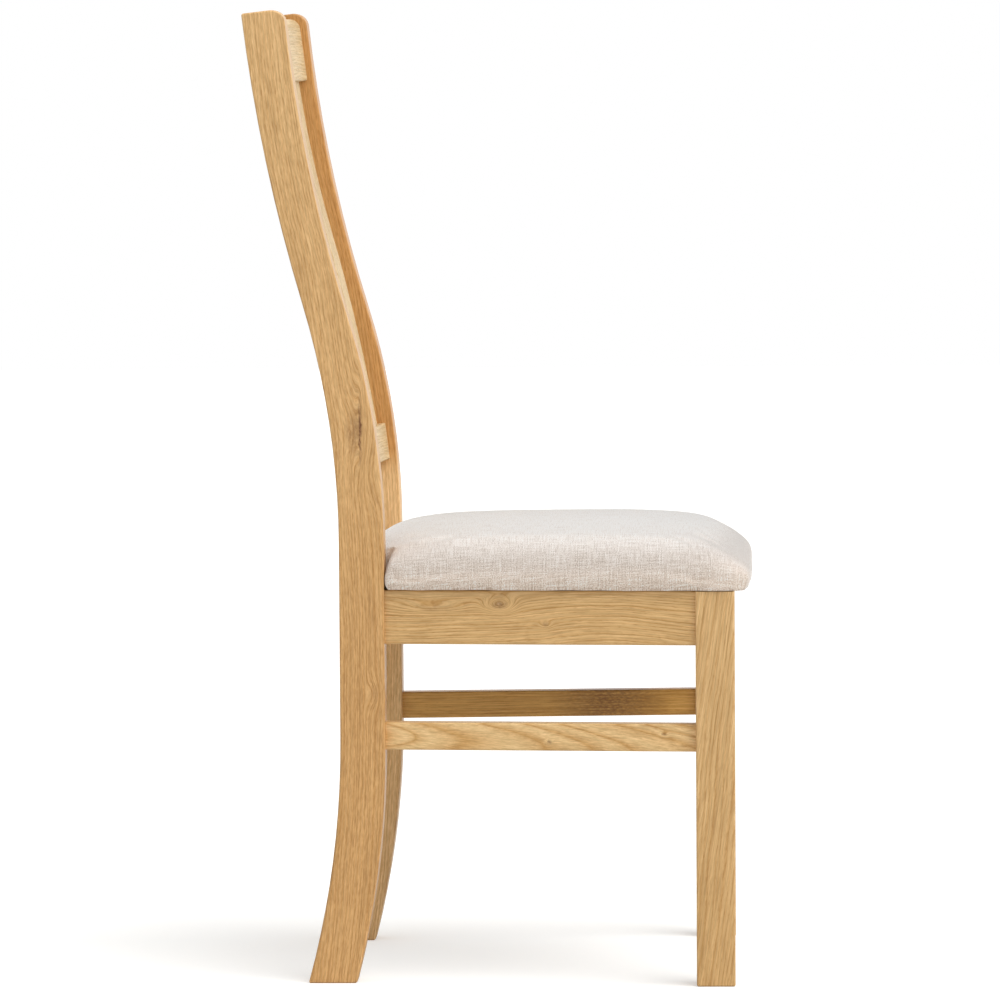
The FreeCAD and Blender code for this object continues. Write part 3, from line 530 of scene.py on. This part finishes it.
pad.modifiers.new("soften", "SMOOTH").iterations = 3
pad.data = evaluated(pad)
pad.modifiers.clear()
for cutter in cutters:
    bpy.data.objects.remove(cutter)
folds = pad.vertex_groups.new(name="folds")
corners = pad.vertex_groups.new(name="corners")
for vertex in pad.data.vertices:
    across, along, height = abs(vertex.co.x), vertex.co.y, vertex.co.z
    from_post = math.hypot(max(0.0, NOTCH_X - across), NOTCH_Y - along)
    share = min(1.0, max(0.0, (height - FOLD_ABOVE) / FOLD_SOFT)) * max(0.0, 1 - from_post / FOLD_REACH)
    folds.add([vertex.index], share, "REPLACE")
    from_corner = math.hypot(CORNER_X - across, CORNER_Y - along)
    from_side = max(0.0, CORNER_X - (along - CORNER_Y) * SIDE_SPLAY - across)
    from_fold = min(1.0, max(0.0, (NOTCH_Y - FOLD_REACH - along) / SHOULDER_END))
    share = max(0.0, 1 - from_corner / CORNER_REACH, from_fold * (1 - from_side / SHOULDER_REACH))
    share *= min(1.0, max(0.0, (height - PAD_FIXED_BELOW) / CORNER_RISE))
    corners.add([vertex.index], share, "REPLACE")
for group, rounds in (("folds", 14), ("corners", 60)):
    soften = pad.modifiers.new("soften", "SMOOTH")
    soften.iterations = rounds
    soften.vertex_group = group
stuffed = evaluated(pad)
pad.modifiers.clear()
pad.vertex_groups.clear()
pad.data = stuffed


def places_of(mesh):
    """Where a mesh's vertices are, one row each."""
    flat = np.empty(len(mesh.vertices) * 3)
    mesh.vertices.foreach_get("co", flat)
    return flat.reshape(-1, 3)


before = places_of(stuffed)
held = pad.vertex_groups.new(name="held")
for vertex in stuffed.vertices:
    share = min(1.0, max(0.0, (PAD_FIXED_BELOW - vertex.co.z) / PAD_HELD))
    held.add([vertex.index], share, "REPLACE")
cloth = pad.modifiers.new("cloth", "CLOTH")
cloth.settings.vertex_group_mass = "held"
cloth.settings.use_pressure = True
cloth.settings.uniform_pressure_force = PAD_PRESSURE
cloth.settings.effector_weights.gravity = 0.0
for step in range(1, PAD_STEPS + 1):
    bpy.context.scene.frame_set(step)
after = places_of(evaluated(pad))
pad.modifiers.clear()
bpy.context.scene.frame_set(1)
swell = after - before
far = np.linalg.norm(swell, axis=1, keepdims=True)
after = before + swell * np.minimum(1.0, PAD_SWELL / np.maximum(far, 1e-9))

# The cloth lies on the frame below, and its folded corners stand in front of the posts
after[:, 2] = np.maximum(after[:, 2], FRAME_TOP)
past_side = np.abs(after[:, 0]) - NOTCH_X
past_front = after[:, 1] - NOTCH_Y
inside = (past_side > 0) & (past_front > 0)
to_front = inside & (past_front <= past_side)
to_side = inside & ~to_front
after[to_front, 1] = NOTCH_Y
after[to_side, 0] = np.sign(after[to_side, 0]) * NOTCH_X

# The front edge swells, and the cloth's lower edge is drawn on to the frame
to_front = np.clip((BELLY_FROM_Y - after[:, 1]) / BELLY_DEEP, 0, 1)
from_belly = after[:, 2] - FRONT_BELLY_Z
from_belly = from_belly / np.where(from_belly < 0, BELLY_BELOW, BELLY_ABOVE)
after[:, 1] -= FRONT_BELLY * to_front * np.exp(-from_belly**2)
over_frame = after[:, 2] - FRAME_TOP
tight = PAD_TIGHT * np.clip(1 - over_frame / TIGHT_ABOVE_FRAME, 0, 1) ** 2
waves = 0.35 + 0.22 * np.sin(after[:, 1] / (19 * MM))
waves += 0.13 * np.sin((after[:, 1] + after[:, 0]) / (7.7 * MM))
loose = LOOSE * waves * np.clip(1 - over_frame / LOOSE_ABOVE_FRAME, 0, 1)
after[:, 2] = FRAME_TOP + np.maximum(over_frame - tight, 0) + loose

# Before the posts the cloth is drawn in below, and turns in under its fold above
before_post = NOTCH_Y - after[:, 1]
beside_post = (np.abs(after[:, 0]) > NOTCH_X) & (before_post < TIGHT_BEFORE_POST)
near_post = np.clip(1 - before_post / TIGHT_BEFORE_POST, 0, 1)
below_fold = np.clip((TUCK_TO - after[:, 2]) / (6 * MM), 0, 1)
above_frame = np.clip((after[:, 2] - FRAME_TOP - 3 * MM) / (6 * MM), 0, 1)
tight = PAD_TIGHT * near_post**2 * below_fold * above_frame
after[beside_post, 1] = NOTCH_Y - np.maximum(before_post - tight, 0)[beside_post]
under_edge = (TUCK_FROM + TUCK_EDGE - after[:, 2]) / TUCK_EDGE
turned_in = np.minimum(under_edge, (after[:, 2] - TUCK_TO) / (TUCK_FROM - TUCK_TO))
after[beside_post, 1] -= (TUCK * np.clip(turned_in, 0, 1) * near_post)[beside_post]
stuffed.vertices.foreach_set("co", after.ravel())
stuffed.update()
stuffed.shade_smooth()
pad.modifiers.new("smoother", "SUBSURF").render_levels = 1

# Linen-look upholstery cloth: a plain weave of slubby oatmeal yarns, each thread a little lighter or darker
# along its length, with painted light that makes it paler and greyer on the crown. The threads are 1 mm
# apart, and drawn 1.2 mm apart to show.
YARN = "#DCCBBC"
YARN_DARK = "#B09A86"
YARN_PALE = "#F8F2EC"
THREAD = 1.2 * MM
SLUB = 26 * MM  # how long a thread stays thick or thin
WAVER, WAVER_SIZE = 0.3 * MM, 12 * MM  # the threads aren't quite straight
WEAVE_DEPTH = 0.35 * MM
YARN_MOST = 0.83  # no thread is paler
PAINTED_LIGHT_FROM, CROWN_TO = 440 * MM, 498 * MM
PAINTED_LIGHT_BY_HEIGHT = [(0.0, 0.52), (0.25, 0.485), (0.55, 0.465), (0.8, 0.56), (1.0, 0.64)]  # painted light and shade: half the cloth's value, by height

linen, tree, shader = finish_of("linen_weave", 0.85)
shader.inputs["Sheen Weight"].default_value = 1.0
shader.inputs["Sheen Roughness"].default_value = 0.4
shader.inputs["Specular IOR Level"].default_value = 0.2
x, y, z = add(tree, "SeparateXYZ", {0: add(tree, "TexCoord").outputs["Object"]}).outputs
drop = add(tree, "Math", {0: CROWN_TO, 1: z}, operation="SUBTRACT")
nx, ny, _ = add(tree, "SeparateXYZ", {0: add(tree, "NewGeometry").outputs["Normal"]}).outputs
wide, deep = (add(tree, "Math", {0: n}, operation="ABSOLUTE") for n in (nx, ny))
threads_over = []
for place, side, more, less in ((x, nx, wide, deep), (y, ny, deep, wide)):
    over_edge = add(tree, "Math", {0: more, 1: less}, operation="GREATER_THAN")
    outward = add(tree, "Math", {0: side}, operation="SIGN")
    down = add(tree, "Math", {0: outward, 1: over_edge}, operation="MULTIPLY")
    threads_over.append(add(tree, "Math", {0: down, 1: drop, 2: place}, operation="MULTIPLY_ADD"))
flat = add(tree, "CombineXYZ", dict(enumerate(threads_over)))
waver = add(tree, "TexNoise", {"Vector": flat, "Scale": 1 / WAVER_SIZE, "Detail": 1.0}).outputs["Color"]
flat = add(tree, "VectorMath", {0: waver, 1: (WAVER,) * 3, 2: flat}, operation="MULTIPLY_ADD")
threads = []
for stretch in ((1 / THREAD, 1 / SLUB, 1.0), (1 / SLUB, 1 / THREAD, 1.0), (1 / THREAD, 1 / THREAD, 1.0)):
    run = add(tree, "VectorMath", {0: flat, 1: stretch}, operation="MULTIPLY")
    threads.append(add(tree, "TexNoise", {"Vector": run, "Scale": 1.0, "Detail": 2.0, "Roughness": 0.6}))
warp, weft, knobs = threads
slubs = add(tree, "Math", {0: warp, 1: weft}, operation="ADD")
slubs = add(tree, "Math", {0: knobs, 1: 2.0, 2: slubs}, operation="MULTIPLY_ADD")
counted = add(tree, "VectorMath", {0: flat, "Scale": math.pi / THREAD}, operation="SCALE")
wave = add(tree, "SeparateXYZ", {0: add(tree, "VectorMath", {0: counted}, operation="SINE")}).outputs
over = add(tree, "Math", {0: wave["X"], 1: wave["Y"]}, operation="MULTIPLY")
slub_share = add(tree, "MapRange", {"Value": slubs, 1: 0.0, 2: 4.0})
yarn = add(tree, "ValToRGB", {0: slub_share})
stops = yarn.color_ramp.elements
stops[0].position, stops[0].color = 0.395, linear(YARN_DARK)
stops[1].position, stops[1].color = 0.625, linear(YARN_PALE)
stops.new(0.5).color = linear(YARN)
# Painted light and shade: by height the cloth turns a little darker partway up the side, and paler and greyer
# on the crown
height = add(tree, "MapRange", {"Value": z, 1: PAINTED_LIGHT_FROM, 2: CROWN_TO})
painted_light = add(tree, "FloatCurve", {"Value": height})
points = painted_light.mapping.curves[0].points
for share, value in PAINTED_LIGHT_BY_HEIGHT[1:-1]:
    points.new(share, value)
points[0].location, points[-1].location = PAINTED_LIGHT_BY_HEIGHT[0], PAINTED_LIGHT_BY_HEIGHT[-1]
painted_light.mapping.update()
paler = add(tree, "Math", {0: painted_light, 1: 2.0}, operation="MULTIPLY")
greyer = add(tree, "MapRange", {"Value": height, 3: 1.0, 4: 0.3})
yarn = add(tree, "HueSaturation", {"Color": yarn, "Saturation": greyer, "Value": paler})
yarn = add(tree, "VectorMath", {0: yarn, 1: (YARN_MOST,) * 3}, operation="MINIMUM")
tree.links.new(yarn.outputs["Vector"], shader.inputs["Base Color"])
ridges = add(tree, "Math", {0: over}, operation="ABSOLUTE")
relief = add(tree, "Math", {0: slubs, 1: 0.7, 2: ridges}, operation="MULTIPLY_ADD")
bump = add(tree, "Bump", {"Strength": 0.5, "Distance": WEAVE_DEPTH, "Height": relief})
tree.links.new(bump.outputs["Normal"], shader.inputs["Normal"])
stuffed.materials.clear()
stuffed.materials.append(linen)
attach(pad, "root")
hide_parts("seat_foam", "seat_cover")

# Dust cloth: a thin black non-woven sheet that closes the seat from below. It is cut round the legs,
# stapled to the board along its four sides, and hangs a little slack in the middle.

DUST_TOP = 429.3 * MM
DUST_THICK = 0.5 * MM
DUST_SAG = 5 * MM
DUST_GRID = 12 * MM
DUST_FRONT_Y, DUST_REAR_Y = -224.5 * MM, 134 * MM
DUST_LEG_X, DUST_LEG_Y = 181 * MM, -212.5 * MM
DUST_POST_X, DUST_POST_Y = 153 * MM, 122 * MM
DUST_WIDE = 192.8 * MM  # half its width behind the front legs
DUST_NARROW = 163.2 * MM  # half its width before the rear posts

right_edge = [
    (DUST_LEG_X, DUST_FRONT_Y),
    (DUST_LEG_X, DUST_LEG_Y),
    (DUST_WIDE, DUST_LEG_Y),
    (DUST_NARROW, DUST_POST_Y),
    (DUST_POST_X, DUST_POST_Y),
    (DUST_POST_X, DUST_REAR_Y),
]
outline = right_edge + [(-across, along) for across, along in reversed(right_edge)]
form = bmesh.new()
form.faces.new([form.verts.new((across, along, DUST_TOP)) for across, along in outline])
for axis, low, high in ((0, -DUST_WIDE, DUST_WIDE), (1, DUST_FRONT_Y, DUST_REAR_Y)):
    count = round((high - low) / DUST_GRID)
    for i in range(1, count):
        at, normal = Vector((0, 0, 0)), Vector((0, 0, 0))
        at[axis], normal[axis] = low + (high - low) * i / count, 1.0
        whole = form.verts[:] + form.edges[:] + form.faces[:]
        bmesh.ops.bisect_plane(form, geom=whole, plane_co=at, plane_no=normal)
for vertex in form.verts:
    across = 1 - (vertex.co.x / DUST_WIDE) ** 2
    along = 1 - (2 * (vertex.co.y - DUST_FRONT_Y) / (DUST_REAR_Y - DUST_FRONT_Y) - 1) ** 2
    ripple = 1 + 0.25 * math.sin(vertex.co.x / (23 * MM)) * math.sin(vertex.co.y / (31 * MM))
    vertex.co.z -= DUST_SAG * max(0.0, across * along) * ripple
mesh = bpy.data.meshes.new("dust_cloth")
form.to_mesh(mesh)
form.free()
mesh.shade_smooth()
dust_cloth = shown("dust_cloth", mesh)
thick = dust_cloth.modifiers.new("thick", "SOLIDIFY")
thick.thickness = DUST_THICK
thick.offset = 0.0

# Spun-bonded polypropylene: dull black felted fibres pressed together in a grid of small dots, whose real
# pitch of 1.2 mm is drawn at 2 mm to show.
FELT = "#1C1C1E"
FELT_PRESSED = "#0E0E10"
DOT_PITCH = 2 * MM
DOT_DEPTH = 0.2 * MM

felt, tree, shader = finish_of("spun_black_felt", 0.9)
place = add(tree, "TexCoord").outputs["Object"]
grid = {"Vector": place, "Scale": 1 / DOT_PITCH, "Randomness": 0.15}
dots = add(tree, "TexVoronoi", grid, voronoi_dimensions="2D")
pressed = add(tree, "MapRange", {"Value": dots.outputs["Distance"], 1: 0.25, 2: 0.4, 3: 1.0, 4: 0.0})
colour = add(tree, "Mix", {0: pressed, 6: linear(FELT), 7: linear(FELT_PRESSED)}, data_type="RGBA")
tree.links.new(colour.outputs["Result"], shader.inputs["Base Color"])
bump = add(tree, "Bump", {"Strength": 0.5, "Distance": DOT_DEPTH, "Height": pressed}, invert=True)
tree.links.new(bump.outputs["Normal"], shader.inputs["Normal"])
mesh.materials.append(felt)
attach(dust_cloth, "root")
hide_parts("dust_cover")

# Studio: a pale floor under an even white sky, with one broad soft lamp from the front and the side.
# The floor shines a little for the camera alone, so that it meets the white behind without a line.

FLOOR_HALF, FLOOR_THICK = 15.0, 0.02
FLOOR = "#DADAD8"
FLOOR_GLOW = 0.4
SKY_LOW, SKY_HIGH = 0.35, 0.85
LAMP_TOWARDS = Vector((-0.33, -0.50, 0.80))
LAMP_STRENGTH = 2.2
LAMP_BREADTH = math.radians(50.0)

floor_box = (-FLOOR_HALF, -FLOOR_HALF, -FLOOR_THICK), (FLOOR_HALF, FLOOR_HALF, 0.0)
floor = shown("floor", box_mesh("floor", *floor_box))
paper, tree, shader = finish_of("studio_paper", 0.9)
shader.inputs["Base Color"].default_value = linear(FLOOR)
shader.inputs["Specular IOR Level"].default_value = 0.0
shader.inputs["Emission Color"].default_value = (1.0, 1.0, 1.0, 1.0)
seen = add(tree, "LightPath").outputs["Is Camera Ray"]
glow = add(tree, "Math", {0: seen, 1: FLOOR_GLOW}, operation="MULTIPLY")
tree.links.new(glow.outputs[0], shader.inputs["Emission Strength"])
floor.data.materials.append(paper)

world = bpy.data.worlds.new("studio")
world.use_nodes = True
bpy.context.scene.world = world
tree = world.node_tree
rays = add(tree, "LightPath").outputs
seen = add(tree, "Math", {0: rays["Is Camera Ray"], 1: rays["Is Glossy Ray"]}, operation="MAXIMUM")
seen = add(tree, "Math", {0: seen, 1: rays["Is Transmission Ray"]}, operation="MAXIMUM")
height = add(tree, "SeparateXYZ", {0: add(tree, "TexCoord").outputs["Generated"]}).outputs["Z"]
overhead = add(tree, "MapRange", {"Value": height, 3: SKY_LOW, 4: SKY_HIGH})
level = add(tree, "Mix", {0: seen, 2: overhead, 3: 1.0})
sky = tree.nodes["Background"]
sky.inputs["Color"].default_value = (1.0, 1.0, 1.0, 1.0)
tree.links.new(level.outputs["Result"], sky.inputs["Strength"])

lamp = bpy.data.objects.new("key", bpy.data.lights.new("key", "SUN"))
lamp.data.energy = LAMP_STRENGTH
lamp.data.angle = LAMP_BREADTH
lamp.rotation_mode = "QUATERNION"
lamp.rotation_quaternion = LAMP_TOWARDS.to_track_quat("Z", "Y")
bpy.context.scene.collection.objects.link(lamp)

# Camera: a long lens level with the top of the back, square to the chair's right side and rolled a hair.

EYE = Vector((-7.096, -0.2667, 0.976))
AIM = Vector((-0.196, -0.0029, 0.52825))
ROLL = math.radians(0.36)
LENS = 229.5

camera = bpy.data.objects.new("camera", bpy.data.cameras.new("camera"))
camera.data.lens = LENS
camera.data.sensor_width = 36.0
camera.data.clip_end = 100.0
camera.location = EYE
camera.rotation_mode = "QUATERNION"
camera.rotation_quaternion = (AIM - EYE).to_track_quat("-Z", "Y") @ Quaternion((0, 0, 1), -ROLL)
bpy.context.scene.collection.objects.link(camera)
bpy.context.scene.camera = camera
bpy.context.scene.view_settings.view_transform = "Standard"
